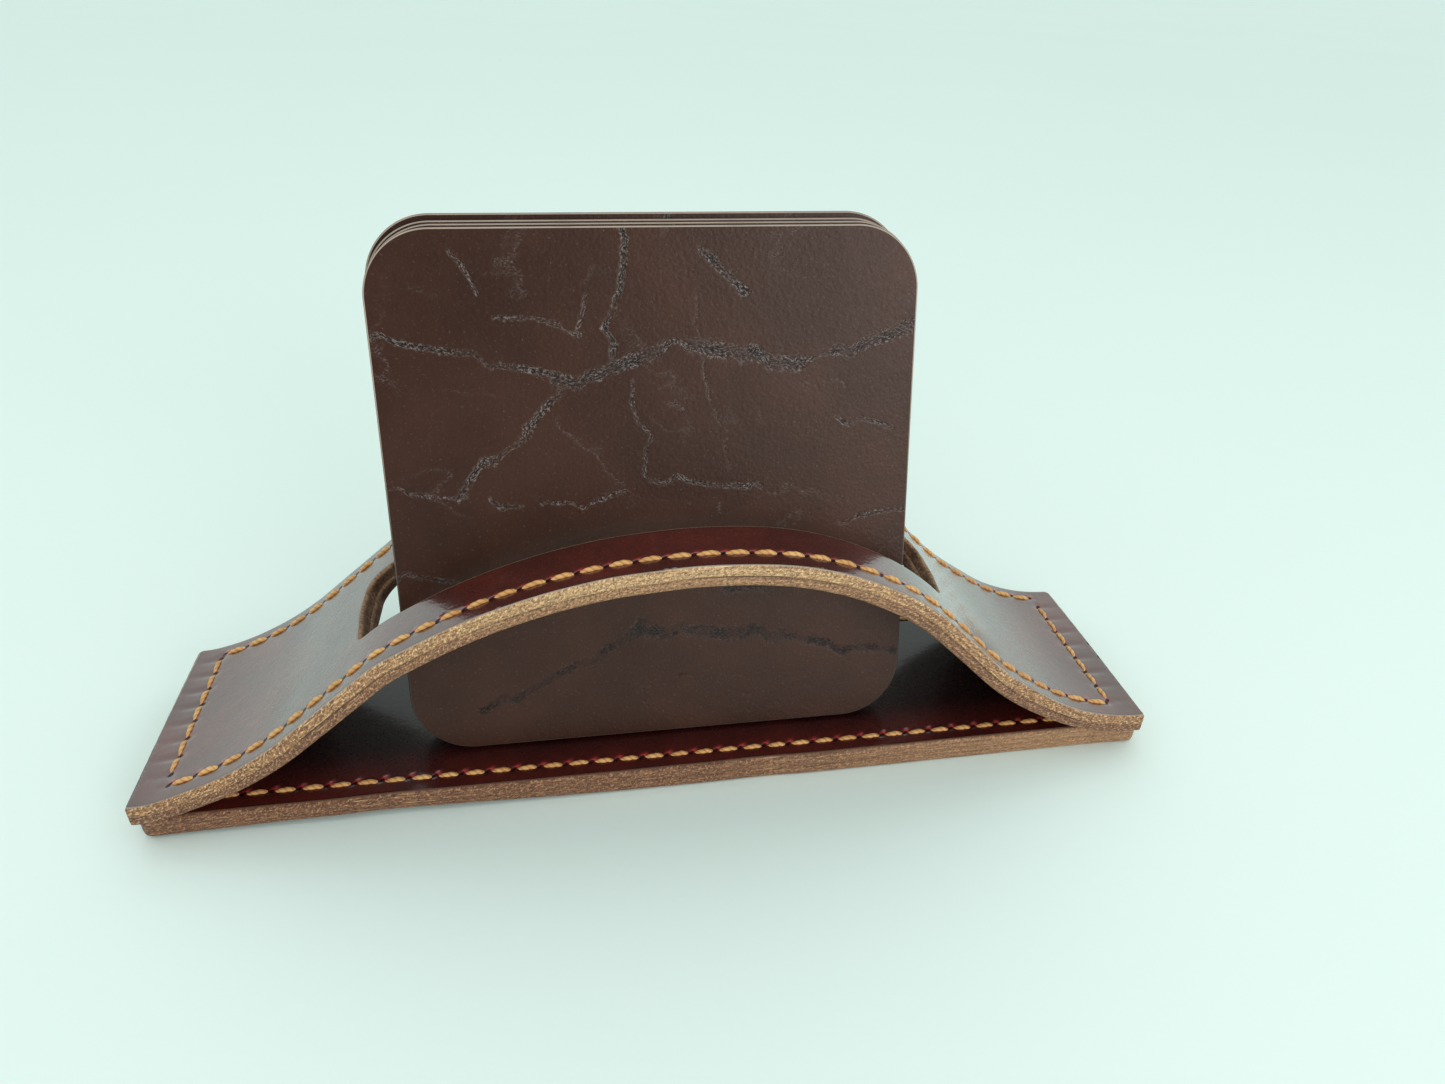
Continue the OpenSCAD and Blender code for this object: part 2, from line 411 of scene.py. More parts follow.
class Graph:
    """The node tree of one procedural material."""

    def __init__(self, name):
        self.material = bpy.data.materials.new(name)
        self.material.use_nodes = True
        self.tree = self.material.node_tree
        self.tree.nodes.clear()

    def node(self, kind, inputs=(), **settings):
        node = self.tree.nodes.new(kind)
        for name, setting in settings.items():
            setattr(node, name, setting)
        for name, value in dict(inputs).items():
            self.feed(node.inputs[name], value)
        return node

    def feed(self, socket, value):
        if isinstance(value, Value):
            self.tree.links.new(value.socket, socket)
        else:
            socket.default_value = value

    def math(self, operation, *values):
        node = self.tree.nodes.new("ShaderNodeMath")
        node.operation = operation
        for socket, value in zip(node.inputs, values):
            self.feed(socket, value)
        return Value(self, node.outputs[0])

    def attribute(self, name, output="Vector"):
        node = self.node("ShaderNodeAttribute", attribute_name=name)
        return Value(self, node.outputs[output])

    def split(self, vector):
        node = self.node("ShaderNodeSeparateXYZ", {"Vector": vector})
        return [Value(self, output) for output in node.outputs]

    def join(self, x, y, z):
        node = self.node("ShaderNodeCombineXYZ", {"X": x, "Y": y, "Z": z})
        return Value(self, node.outputs[0])

    def stretch(self, vector, scale):
        node = self.node("ShaderNodeVectorMath", operation="MULTIPLY")
        self.feed(node.inputs[0], vector)
        node.inputs[1].default_value = scale
        return Value(self, node.outputs[0])

    def noise(self, vector, scale, detail=3.0, roughness=0.5, distortion=0.0):
        node = self.node("ShaderNodeTexNoise", {
            "Vector": vector,
            "Scale": scale,
            "Detail": detail,
            "Roughness": roughness,
            "Distortion": distortion,
        })
        return Value(self, node.outputs[0])

    def cells(self, vector, scale):
        """The distance to the nearest of scattered points."""
        node = self.node("ShaderNodeTexVoronoi", {"Vector": vector, "Scale": scale})
        return Value(self, node.outputs["Distance"])

    def smooth(self, value, start, end, low=0.0, high=1.0):
        """low before start, high after end, and a smooth step between them."""
        node = self.node("ShaderNodeMapRange", interpolation_type="SMOOTHSTEP")
        for name, setting in zip(
            ("Value", "From Min", "From Max", "To Min", "To Max"), (value, start, end, low, high)
        ):
            self.feed(node.inputs[name], setting)
        return Value(self, node.outputs[0])

    def bell(self, value, width):
        """1 where value is 0, falling off over width."""
        scaled = value / width
        return self.math("EXPONENT", scaled * scaled * -1.0)

    def mix(self, factor, a, b):
        node = self.tree.nodes.new("ShaderNodeMix")
        node.data_type = "RGBA"
        self.feed(node.inputs["Factor"], factor)
        self.feed(node.inputs[6], a)
        self.feed(node.inputs[7], b)
        return Value(self, node.outputs[2])

    def finish(self, colour, height, roughness, coat=0.0, **uniform):
        """A Principled surface whose relief is height, in metres."""
        bump = self.node("ShaderNodeBump", {"Height": height, "Distance": 1.0, "Strength": 1.0})
        normal = Value(self, bump.outputs[0])
        shader = self.node("ShaderNodeBsdfPrincipled", {
            "Base Color": colour,
            "Roughness": roughness,
            "Normal": normal,
            "Coat Weight": coat,
            "Coat Normal": normal,
        })
        for name, value in uniform.items():
            shader.inputs[name].default_value = value
        output = self.node("ShaderNodeOutputMaterial")
        self.tree.links.new(shader.outputs[0], output.inputs[0])
        return self.material


def awl_marks(g, along, across, count, pitch, lean, pull):
    """The groove, slits and pulled ridges of a saddle-stitched seam.

    along is the distance from its first hole, and across the distance from its line. Each slit
    leans, and the leather past its far end is pulled up beside the thread, as much as pull says.
    """
    nearest = g.math("MINIMUM", g.math("MAXIMUM", g.math("ROUND", along / pitch), 0.0), float(count))
    offset = along - nearest * pitch
    cosine, sine = math.cos(lean), math.sin(lean)
    slit_u = offset * cosine + across * sine
    slit_v = across * cosine - offset * sine
    slit = g.bell(slit_u, 0.75 * MM) * g.bell(slit_v, 0.42 * MM)
    ridge = g.bell(slit_u - 0.85 * MM, 0.75 * MM) * g.bell(slit_v - 0.15 * MM, 0.50 * MM) * pull
    run = g.smooth(along, -0.6 * pitch, -0.2 * pitch)
    run = run * g.smooth(along, (count + 0.2) * pitch, (count + 0.6) * pitch, 1.0, 0.0)
    groove = g.bell(across, 0.8 * MM) * run
    return groove, slit * run, ridge * run


def burgundy_leather(name, seams, relief, ior, deep=0.0):
    """Waxed oxblood leather. seams(g, u, v) lists the awl_marks of its seams.

    relief scales its grain, and deep says how much painted shade darkens it away from its front edge.
    """
    g = Graph(name)
    flat = g.attribute("flat")
    u, v = g.split(flat)[:2]
    rim = g.split(g.attribute("edge"))[2]
    clouds = g.noise(flat, 55.0, 4.0, 0.6)
    fine = g.noise(flat, 800.0, 3.0, 0.6)
    pores = g.cells(flat, 1500.0)
    colour = g.mix(g.smooth(clouds, 0.35, 0.7), (0.078, 0.0110, 0.0080, 1), (0.135, 0.0200, 0.014, 1))
    colour = g.mix(g.smooth(fine, 0.3, 0.8) * 0.35, colour, (0.038, 0.006, 0.006, 1))
    worn = g.smooth(rim + g.noise(flat, 400.0) * 0.5 * MM, 0.25 * MM, 0.9 * MM, 1.0, 0.0)
    colour = g.mix(worn * 0.5, colour, (0.028, 0.008, 0.006, 1))
    # Painted shade: away from its front edge the leather is painted nearly black, standing in for the shade
    # and dark reflection under the strap's arch.
    if deep:
        away = g.smooth(v, base_lo.y + 3 * MM, base_lo.y + 14 * MM, 0.0, deep)
        colour = g.mix(away, colour, (0.004, 0.002, 0.003, 1))
    height = (clouds * 0.20 * MM + fine * 0.018 * MM + pores * 0.014 * MM) * relief
    coat = 1.0
    for groove, slit, ridge in seams(g, u, v):
        # hole paints each awl slit nearly black: painted shade inside the hole.
        hole = g.smooth(slit, 0.25, 0.6)
        colour = g.mix(ridge, colour, (0.50, 0.062, 0.058, 1))
        colour = g.mix(hole, colour, (0.030, 0.003, 0.003, 1))
        height = height + ridge * 0.20 * MM - slit * 0.15 * MM - groove * 0.10 * MM
        coat = coat - hole - ridge * 0.6
    return g.finish(
        colour, height, g.smooth(fine, 0.2, 0.8, 0.24, 0.34), g.math("MAXIMUM", coat, 0.0),
        **{"Coat Roughness": 0.15, "Coat IOR": ior, "IOR": 1.4},
    )


def cut_edge(name, thickness, is_upper, light, dark, painted_highlight, pale, grainy, glued, painted_light_at):
    """A burnished cut edge of one layer of a glued pair.

    It has fibres along the edge, as grainy as told, with bright specks that are painted glints, a
    broken dark glue line at its inner side, as strong as glued says, a pale line on the outer arris
    (on the strap's upper edge partly wear and partly a painted highlight), and thin streaks of
    painted highlight. A painted pool of light makes it palest around one distance along the edge
    from its front left corner, given by its last argument.
    """
    g = Graph(name)
    along, depth = g.split(g.attribute("edge"))[:2]
    outer = depth if is_upper else thickness - depth
    fibres = g.noise(g.join(along * 480.0, depth * 2200.0, 0.0), 1.0, 5.0, 0.75, 0.8)
    fuzz = g.noise(g.join(along * 1900.0 + depth * 900.0, depth * 1900.0, 3.0), 1.0, 4.0, 0.8)
    layers = g.noise(g.join(along * 45.0, depth * 1700.0, 7.0), 1.0, 3.0, 0.6)
    patches = g.noise(g.join(along * 35.0, 0.0, 13.0), 1.0, 3.0, 0.6)
    colour = g.mix(g.smooth(fibres, 0.38, 0.62), dark, light)
    # Painted light: a soft pool of light, brightest at one distance along the edge.
    colour = g.mix(g.bell(along - painted_light_at, 48 * MM) * 0.35, colour, painted_highlight)
    # Painted glints: the bright specks in the fuzz.
    colour = g.mix(g.smooth(fuzz, 0.51, 0.61) * grainy, colour, painted_highlight)
    colour = g.mix(g.smooth(fuzz, 0.40, 0.48, 1.0, 0.0) * grainy, colour, dark)
    colour = g.mix(g.smooth(layers, 0.54, 0.66) * 0.35, colour, dark)
    # Painted highlights: thin bright streaks along the edge, which are also glossier.
    highlight_streak = g.smooth(g.noise(g.join(along * 110.0, depth * 3600.0, 11.0), 1.0, 2.0), 0.6, 0.70)
    colour = g.mix(highlight_streak * g.smooth(patches, 0.45, 0.6) * 0.9, colour, painted_highlight)
    glue = g.smooth(outer, thickness - 0.28 * MM, thickness - 0.10 * MM)
    glue = glue * g.smooth(patches, 0.40, 0.60, 0.15, 1.0) * glued
    colour = g.mix(glue, colour, (0.04, 0.016, 0.010, 1))
    # The pale line on the outer arris; in the strap's upper colour it is partly wear and partly a painted
    # highlight.
    arris = g.smooth(outer, 0.03 * MM, 0.22 * MM, 1.0, 0.0)
    colour = g.mix(arris * g.smooth(patches, 0.35, 0.6, 0.25, 0.85), colour, pale)
    height = fibres * 0.12 * MM + fuzz * 0.14 * MM + layers * 0.08 * MM - glue * 0.10 * MM
    roughness = g.smooth(highlight_streak, 0.0, 1.0, 0.55, 0.3)
    return g.finish(colour, height, roughness, 0.35, **{"Coat Roughness": 0.3})


def raw_edge(name):
    """The unpolished wall of the slot: fuzzy brown, paler at its rims."""
    g = Graph(name)
    along, depth = g.split(g.attribute("edge"))[:2]
    fuzz = g.noise(g.join(along * 1400.0, depth * 1100.0, 3.0), 1.0, 5.0, 0.75)
    bands = g.noise(g.join(along * 150.0, depth * 500.0, 5.0), 1.0, 3.0)
    colour = g.mix(g.smooth(fuzz, 0.35, 0.65), (0.075, 0.032, 0.018, 1), (0.34, 0.185, 0.105, 1))
    colour = g.mix(g.smooth(bands, 0.4, 0.65) * 0.6, colour, (0.05, 0.022, 0.013, 1))
    outer = g.smooth(depth, 0.2 * MM, 0.9 * MM, 0.7, 0.0)
    colour = g.mix(outer * g.smooth(fuzz, 0.35, 0.55), colour, (0.48, 0.30, 0.19, 1))
    return g.finish(colour, fuzz * 0.25 * MM, g.smooth(fuzz, 0.3, 0.7, 0.7, 0.9))


def backing_leather(name):
    """The plain side of a layer: matt brown with a loose nap."""
    g = Graph(name)
    flat = g.attribute("flat")
    nap = g.noise(flat, 700.0, 5.0, 0.7)
    clouds = g.noise(flat, 60.0, 3.0)
    colour = g.mix(g.smooth(clouds, 0.3, 0.7), (0.060, 0.018, 0.012, 1), (0.105, 0.036, 0.022, 1))
    colour = g.mix(g.smooth(nap, 0.4, 0.75) * 0.5, colour, (0.16, 0.07, 0.042, 1))
    height = nap * 0.05 * MM + clouds * 0.1 * MM
    return g.finish(colour, height, g.smooth(nap, 0.3, 0.7, 0.62, 0.8))


def coaster_leather(name):
    """Dark brown leather with fine grain and the crackled growth marks of the hide.

    The crease attribute holds how strongly a point is marked, and its place along and across the
    mark, so that the wrinkles run along it.
    """
    g = Graph(name)
    flat = g.attribute("flat")
    v = g.split(flat)[1]
    strength, along, across = g.split(g.attribute("crease"))
    patchy = g.smooth(g.noise(flat, 200.0, 3.0), 0.40, 0.60, 0.35, 1.0)
    clouds = g.noise(flat, 38.0, 4.0, 0.55)
    fine = g.noise(flat, 850.0, 4.0, 0.7)
    pores = g.cells(flat, 1500.0)
    specks = g.smooth(g.noise(flat, 1900.0, 3.0, 0.8), 0.60, 0.70)
    ragged = g.noise(flat, 600.0, 4.0, 0.7)
    bent = across + (g.noise(flat, 600.0, 3.0) - 0.5) * 1.2 * MM
    wrinkles = g.noise(g.join(along * 1500.0, bent * 3100.0, 0.0), 1.0, 4.0, 0.75)
    halo = g.smooth(strength + (ragged - 0.5) * 1.0, 0.12, 0.55) * patchy
    core = g.smooth(strength + (ragged - 0.5) * 1.2, 0.46, 0.88) * patchy
    wander = g.noise(g.stretch(flat, (1.0, 1.4, 1.0)), 34.0, 3.0, 0.5)
    faint = g.bell(wander - 0.5, 0.010) * g.smooth(g.noise(flat, 60.0), 0.45, 0.62)
    marked = g.math("MAXIMUM", halo, faint * 0.35)

    colour = g.mix(g.smooth(clouds, 0.3, 0.7), (0.054, 0.0195, 0.0115, 1), (0.078, 0.0295, 0.0175, 1))
    colour = g.mix(specks * 0.6, colour, (0.21, 0.135, 0.105, 1))
    # Painted highlights: the wrinkles' light edges, brighter towards the top of the face where the light
    # falls.
    lit = g.smooth(v, -30 * MM, 5 * MM, 0.1, 0.9)
    colour = g.mix(marked * g.smooth(wrinkles, 0.50, 0.58) * lit, colour, (0.30, 0.255, 0.245, 1))
    dark = g.smooth(wrinkles, 0.40, 0.48, 1.0, 0.0)
    colour = g.mix(marked * dark * 0.7, colour, (0.014, 0.008, 0.008, 1))
    colour = g.mix(core * g.smooth(wrinkles, 0.46, 0.58, 0.95, 0.25), colour, (0.009, 0.006, 0.006, 1))
    height = clouds * 0.12 * MM + fine * 0.055 * MM + pores * 0.030 * MM
    height = height + marked * (wrinkles - 1.0) * 0.13 * MM - core * 0.06 * MM
    roughness = g.smooth(fine, 0.2, 0.8, 0.36, 0.46)
    return g.finish(colour, height, roughness, 0.05, **{"Coat Roughness": 0.3, "IOR": 1.47})


def coaster_edge(name):
    """The dyed edge of a coaster, with a painted highlight along its front arris, strongest towards its
    top.
    """
    g = Graph(name)
    along, depth = g.split(g.attribute("edge"))[:2]
    v = g.split(g.attribute("flat"))[1]
    fibres = g.noise(g.join(along * 300.0, depth * 2400.0, 0.0), 1.0, 4.0, 0.6)
    colour = g.mix(g.smooth(fibres, 0.35, 0.7), (0.035, 0.018, 0.013, 1), (0.075, 0.042, 0.03, 1))
    patch = g.noise(g.join(along * 90.0, 0.0, 5.0), 1.0, 2.0)
    # Painted highlight: the front arris is painted pale, more towards the coaster's top where it catches
    # the light.
    arris = g.smooth(depth, 0.05 * MM, 0.22 * MM, 1.0, 0.0) * g.smooth(patch, 0.25, 0.5, 0.5, 1.0)
    colour = g.mix(arris * g.smooth(v, -20 * MM, 30 * MM, 0.1, 1.0), colour, (0.44, 0.34, 0.28, 1))
    height = fibres * 0.06 * MM
    return g.finish(colour, height, g.smooth(fibres, 0.3, 0.7, 0.4, 0.6), 0.2)


def waxed_thread(name):
    """Waxed golden thread, with painted shade between its plies."""
    g = Graph(name)
    place = g.attribute("flat")
    ply = g.attribute("ply", "Fac")
    fibres = g.noise(g.stretch(place, (1.0, 3.0, 1.0)), 2400.0, 3.0, 0.7)
    tone = g.noise(place, 180.0, 2.0)
    colour = g.mix(g.smooth(tone, 0.3, 0.7), (0.60, 0.300, 0.105, 1), (0.80, 0.46, 0.185, 1))
    # Painted shade: darker in the groove between the plies.
    colour = g.mix(g.smooth(ply, 0.0, 0.45, 1.0, 0.0) * 0.45, colour, (0.26, 0.090, 0.026, 1))
    colour = g.mix(g.smooth(fibres, 0.5, 0.8) * 0.4, colour, (0.85, 0.58, 0.28, 1))
    height = fibres * 0.05 * MM
    return g.finish(colour, height, g.smooth(fibres, 0.3, 0.7, 0.4, 0.6), 0.3)


# --- Seams ---------------------------------------------------------------------------

STRAP_RUN = STRAP_LEN - 2 * RUN_INSET
STRAP_STITCHES = round(STRAP_RUN / PITCH)
STRAP_PITCH = STRAP_RUN / STRAP_STITCHES
STRAP_SEAM_Y = STRAP_W / 2 - EDGE_INSET
BASE_RUN = BASE_LEN - 2 * RUN_INSET
BASE_STITCHES = round(BASE_RUN / PITCH)
BASE_PITCH = BASE_RUN / BASE_STITCHES
BASE_SEAM_Y = BASE_W / 2 - EDGE_INSET
SLIT_LEAN = math.radians(40)
END_SLIT_LEAN = math.radians(-50)


def strap_seams(g, u, v):
    """Awl marks of the two long seams, and of the two end seams, whose slits lie the other way."""
    for side in (-1, 1):
        across = v - side * STRAP_SEAM_Y
        yield awl_marks(g, u - RUN_INSET, across, STRAP_STITCHES, STRAP_PITCH, SLIT_LEAN, pull=0.8)
    half = END_STITCHES / 2 * END_PITCH
    for at, shift in END_SEAMS:
        along = v + (half - shift)
        across = (u - at) * -1.0
        yield awl_marks(g, along, across, END_STITCHES, END_PITCH, END_SLIT_LEAN, pull=0.25)


def base_seams(g, u, v):
    start = BASE_X - BASE_RUN / 2
    for side in (-1, 1):
        across = v - (BASE_Y + side * BASE_SEAM_Y)
        yield awl_marks(g, u - start, across, BASE_STITCHES, BASE_PITCH, SLIT_LEAN, pull=1.4)


STITCH_RINGS = 17
STITCH_SIDES = 12


def stitch_points(length, lift, dive, slant, thread):
    """One two-ply stitch along its own u axis: (points, ply).

    It has a long thin tail on the left and a blunt head on the right, lies in a slight S, and dives
    into a hole at both ends.
    """
    t = np.linspace(-1, 1, STITCH_RINGS)[:, None]
    phi = np.arange(STITCH_SIDES)[None, :] * 2 * math.pi / STITCH_SIDES
    radius = thread / 2 * np.where(t < 0, 1 - 0.75 * np.abs(t) ** 1.8, 1 - 0.55 * np.abs(t) ** 3.4)
    twist = t * length / (5.5 * MM) * 2 * math.pi
    ply = 0.5 + 0.5 * np.cos(2 * (phi - twist))
    swell = radius * (0.90 + 0.12 * ply)
    along = t * length / 2
    bow = 0.14 * MM * np.sin(math.pi * t)
    u = along * math.cos(slant) - swell * np.cos(phi) * math.sin(slant)
    v = along * math.sin(slant) + bow + swell * 1.05 * np.cos(phi) * math.cos(slant)
    w = lift - dive * np.abs(t) ** 3.4 + swell * 0.9 * np.sin(phi)
    flat = np.stack(np.broadcast_arrays(u, v, w), axis=-1).reshape(-1, 3)
    return flat, np.broadcast_to(ply, (STITCH_RINGS, STITCH_SIDES)).ravel()


def tube_faces(first):
    faces = []
    for i in range(STITCH_RINGS - 1):
        for j in range(STITCH_SIDES):
            a = first + i * STITCH_SIDES + j
            b = first + i * STITCH_SIDES + (j + 1) % STITCH_SIDES
            faces.append([a, b, b + STITCH_SIDES, a + STITCH_SIDES])
    start = [first + j for j in range(STITCH_SIDES)]
    end = [first + (STITCH_RINGS - 1) * STITCH_SIDES + j for j in range(STITCH_SIDES)]
    return faces + [start[::-1], end]


class Seam:
    """Collects the stitches of one seam, then makes them one piece."""

    def __init__(self, name, node):
        self.name = name
        self.node = node
        self.points = []
        self.flat = []
        self.ply = []
        self.faces = []
        self.count = 0

    def add(self, place, u, v, depth, side, turn, length, slant, proud=0.12 * MM):
        """A stitch at (u, v), turned in plan. side is 1 on an upper face and -1 on a lower one."""
        rng = np.random.default_rng(self.count)
        uneven = rng.uniform(-1, 1, 4)
        local, ply = stitch_points(
            length * (1 + 0.03 * uneven[0]),
            proud + 0.04 * MM * uneven[1],
            0.80 * MM,
            slant + 0.035 * uneven[2],
            1.10 * MM * (1 + 0.04 * uneven[3]),
        )
        cosine, sine = math.cos(turn), math.sin(turn)
        flat_u = u + local[:, 0] * cosine - local[:, 1] * sine
        flat_v = v + local[:, 0] * sine + local[:, 1] * cosine
        flat_depth = depth - side * local[:, 2]
        self.points.append(place(flat_u, flat_v, flat_depth))
        self.flat.append(local + np.array([self.count * 0.0137, 0, side * 0.05]))
        self.ply.append(ply)
        self.faces += tube_faces(self.count * STITCH_RINGS * STITCH_SIDES)
        self.count += 1

    def finish(self, material):
        mesh = bpy.data.meshes.new(self.name)
        mesh.from_pydata(np.concatenate(self.points).tolist(), [], self.faces)
        mesh.update()
        add_attribute(mesh, "flat", "FLOAT_VECTOR", np.concatenate(self.flat))
        add_attribute(mesh, "ply", "FLOAT", np.concatenate(self.ply))
        return finish_piece(self.name, mesh, [material], "holder", [self.node])


# --- The holder's leather ----------------------------------------------------------------


def puckers(u, v):
    """How deep the end seams pull the strap in: a valley at each hole, out towards the end."""
    pull = np.zeros_like(u)
    for at, shift in END_SEAMS:
        away = u - at if at > STRAP_LEN / 2 else at - u
        reach = np.where(away > 0, 3.8 * MM, 1.5 * MM)
        fade = np.exp(-((away - 0.4 * MM) / reach) ** 2)
        phase = (v - shift) / END_PITCH + END_STITCHES / 2
        along_seam = np.exp(-(np.abs(v - shift) / (END_PITCH * END_STITCHES * 0.56)) ** 8)
        valley = np.abs(np.cos(math.pi * phase)) ** 8 * (1 + 0.35 * wobble(v, 7, 9 * MM))
        pull += along_seam * fade * (0.06 * MM + 0.42 * MM * valley)
    return pull


def strap_layer(upper_layer):
    """One layer of the strap, bent to the arch. Its front corners stick out a little."""
    edge = rounded_loop(
        [
            (-0.9 * MM, -STRAP_W / 2 - 0.6 * MM), (STRAP_LEN + 1.2 * MM, -STRAP_W / 2 - 0.9 * MM),
            (STRAP_LEN, STRAP_W / 2), (0, STRAP_W / 2),
        ],
        [1.15 * MM, 1.2 * MM, 1.4 * MM, 1.15 * MM],
        GRID,
    )
    left, right = (np.interp(x, PATH_X, PATH_S) for x in SLOT_X)
    middle = (SLOT_FRONT + SLOT_BACK) / 2
    slot = rounded_loop(
        [
            (left + 1.6 * MM, SLOT_FRONT), (left, middle), (left + 0.3 * MM, SLOT_BACK),
            (right, SLOT_BACK), (right - 0.2 * MM, middle), (right - 3.2 * MM, SLOT_FRONT),
        ],
        [1.2 * MM, 12 * MM, 3.5 * MM, 3.0 * MM, 12 * MM, 2.0 * MM],
        GRID,
    )
    if upper_layer:
        profile = edge_profile(STRAP_LAYER, 0.55 * MM, INNER_ARRIS, BELLY)
    else:
        profile = edge_profile(STRAP_LAYER, INNER_ARRIS, 0.95 * MM, BELLY)
    layer = Layer([edge, slot], STRAP_LAYER, profile, GRID)
    u, v, depth = layer.points.T
    total = depth + (0 if upper_layer else STRAP_LAYER)
    through = 1 - total / STRAP_T
    squeeze = puckers(u, v) * through
    hem = np.exp(-((STRAP_W / 2 - np.abs(v)) / (4 * MM)) ** 2)
    waves = 0.05 * MM * wobble(u, 3, 31 * MM) * hem
    total = total + squeeze + waves * through
    v = v + 0.12 * MM * wobble(u, 5, 23 * MM) * v / (STRAP_W / 2)
    return layer, on_arch(u, v, total)


def base_layer(upper_layer):
    """One layer of the base, flat on the table.

    The lower one has a channel under each seam, and its front edge curls up at the left.
    """
    left, right = base_lo.x, base_hi.x
    front, back = base_lo.y, base_hi.y
    edge = rounded_loop(
        [(left - 1.3 * MM, front - 0.9 * MM), (right, front), (right, back), (left, back)],
        [2.4 * MM, 2.0 * MM, 1.5 * MM, 1.5 * MM],
        GRID,
    )
    if upper_layer:
        profile = edge_profile(BASE_LAYER, 0.90 * MM, INNER_ARRIS, BELLY)
    else:
        profile = edge_profile(BASE_LAYER, INNER_ARRIS, 0.95 * MM, BELLY)
    layer = Layer([edge], BASE_LAYER, profile, GRID)
    u, v, depth = layer.points.T
    if not upper_layer:
        low = depth > 0.999 * BASE_LAYER
        run = np.abs(u - BASE_X) < BASE_RUN / 2 + 1 * MM
        for side in (-1, 1):
            channel = np.exp(-((v - BASE_Y - side * BASE_SEAM_Y) / (0.9 * MM)) ** 4)
            depth = depth - np.where(low & run, CHANNEL_DEPTH * channel, 0)
        for at in (PATH_X[0] + END_INSET, PATH_X[-1] - END_INSET):
            channel = np.exp(-((u - at) / (0.9 * MM)) ** 4)
            across = np.abs(v) < END_STITCHES / 2 * END_PITCH + 1 * MM
            deepest = np.minimum(depth, BASE_LAYER - CHANNEL_DEPTH * channel)
            depth = np.where(low & across, deepest, depth)
        curl = np.exp(-((u + 60 * MM) / (36 * MM)) ** 2) * np.exp(-((v - front) / (4 * MM)) ** 2)
        depth = depth - 1.6 * MM * curl * depth / BASE_LAYER
        depth = depth + BASE_LAYER
    v = v + 0.15 * MM * wobble(u, 2, 37 * MM) * (v - BASE_Y) / (BASE_W / 2)
    return layer, on_base(u, v, depth)


strap_face = burgundy_leather("strap_burgundy", strap_seams, relief=1.0, ior=2.24)
# The base's top is painted darker away from its front edge (deep): painted shade under the arch.
base_face = burgundy_leather("base_burgundy", base_seams, relief=0.4, ior=1.43, deep=0.88)
plain_side = backing_leather("plain_side")

# Cut edges: the light and dark of their fibres and the colour of their painted highlights, then two
# arrises.
GOLD = [(0.49, 0.245, 0.108, 1), (0.17, 0.068, 0.032, 1), (0.92, 0.66, 0.38, 1)]
BROWN = [(0.30, 0.132, 0.066, 1), (0.11, 0.040, 0.020, 1), (0.72, 0.44, 0.24, 1)]
# The strap's upper arris colour: partly wear, partly a painted highlight.
WORN_AND_HIGHLIGHT = (0.44, 0.38, 0.34, 1)
DYED = (0.20, 0.11, 0.075, 1)
strap_upper_edge = cut_edge(
    "strap_upper_edge", STRAP_LAYER, True, *GOLD, WORN_AND_HIGHLIGHT, grainy=0.8, glued=0.8, painted_light_at=110 * MM
)
strap_lower_edge = cut_edge(
    "strap_lower_edge", STRAP_LAYER, False, *BROWN, DYED, grainy=0.8, glued=0.4, painted_light_at=110 * MM
)
base_upper_edge = cut_edge(
    "base_upper_edge", BASE_LAYER, True, *BROWN, DYED, grainy=0.55, glued=0.35, painted_light_at=185 * MM
)
base_lower_edge = cut_edge(
    "base_lower_edge", BASE_LAYER, False, *BROWN, DYED, grainy=0.55, glued=0.15, painted_light_at=185 * MM
)
slot_wall = raw_edge("slot_wall")
thread = waxed_thread("waxed_thread")

layer, placed = strap_layer(True)
leather_piece(
    "strap_top_layer", layer, placed, [strap_face, strap_upper_edge, plain_side, slot_wall],
    "holder", "strap_outer_leather",
)
layer, placed = strap_layer(False)
leather_piece(
    "strap_under_layer", layer, placed, [plain_side, strap_lower_edge, strap_face, slot_wall],
    "holder", "strap_lining_leather",
)
layer, placed = base_layer(True)
leather_piece(
    "base_top_layer", layer, placed, [base_face, base_upper_edge, plain_side],
    "holder", "base_top_leather",
)
layer, placed = base_layer(False)
leather_piece(
    "base_under_layer", layer, placed, [plain_side, base_lower_edge, plain_side],
    "holder", "base_backing_leather",
)

# --- The holder's stitches ------------------------------------------------------------------

STITCH_SLANT = math.radians(-5)
END_STITCH_SLANT = {"left": math.radians(-9), "right": math.radians(-3)}
UNDER_BASE = 2 * BASE_LAYER - CHANNEL_DEPTH

for side, label in ((-1, "front"), (1, "back")):
    seam = Seam(f"strap_{label}_stitches", f"strap_{label}_seam")
    for i in range(STRAP_STITCHES):
        u = RUN_INSET + (i + 0.5) * STRAP_PITCH
        seam.add(on_arch, u, side * STRAP_SEAM_Y, 0, 1, 0, 1.01 * STRAP_PITCH, STITCH_SLANT)
        if 1 < i < STRAP_STITCHES - 2:
            seam.add(on_arch, u, side * STRAP_SEAM_Y, STRAP_T, -1, 0, 0.93 * STRAP_PITCH, 0)
    seam.finish(thread)

    seam = Seam(f"base_{label}_stitches", f"base_{label}_seam")
    for i in range(BASE_STITCHES):
        u = BASE_X - BASE_RUN / 2 + (i + 0.5) * BASE_PITCH
        v = BASE_Y + side * BASE_SEAM_Y
        seam.add(on_base, u, v, 0, 1, 0, 0.94 * BASE_PITCH, STITCH_SLANT, 0.06 * MM)
        seam.add(on_base, u, v, UNDER_BASE, -1, 0, 0.9 * BASE_PITCH, 0)
    seam.finish(thread)

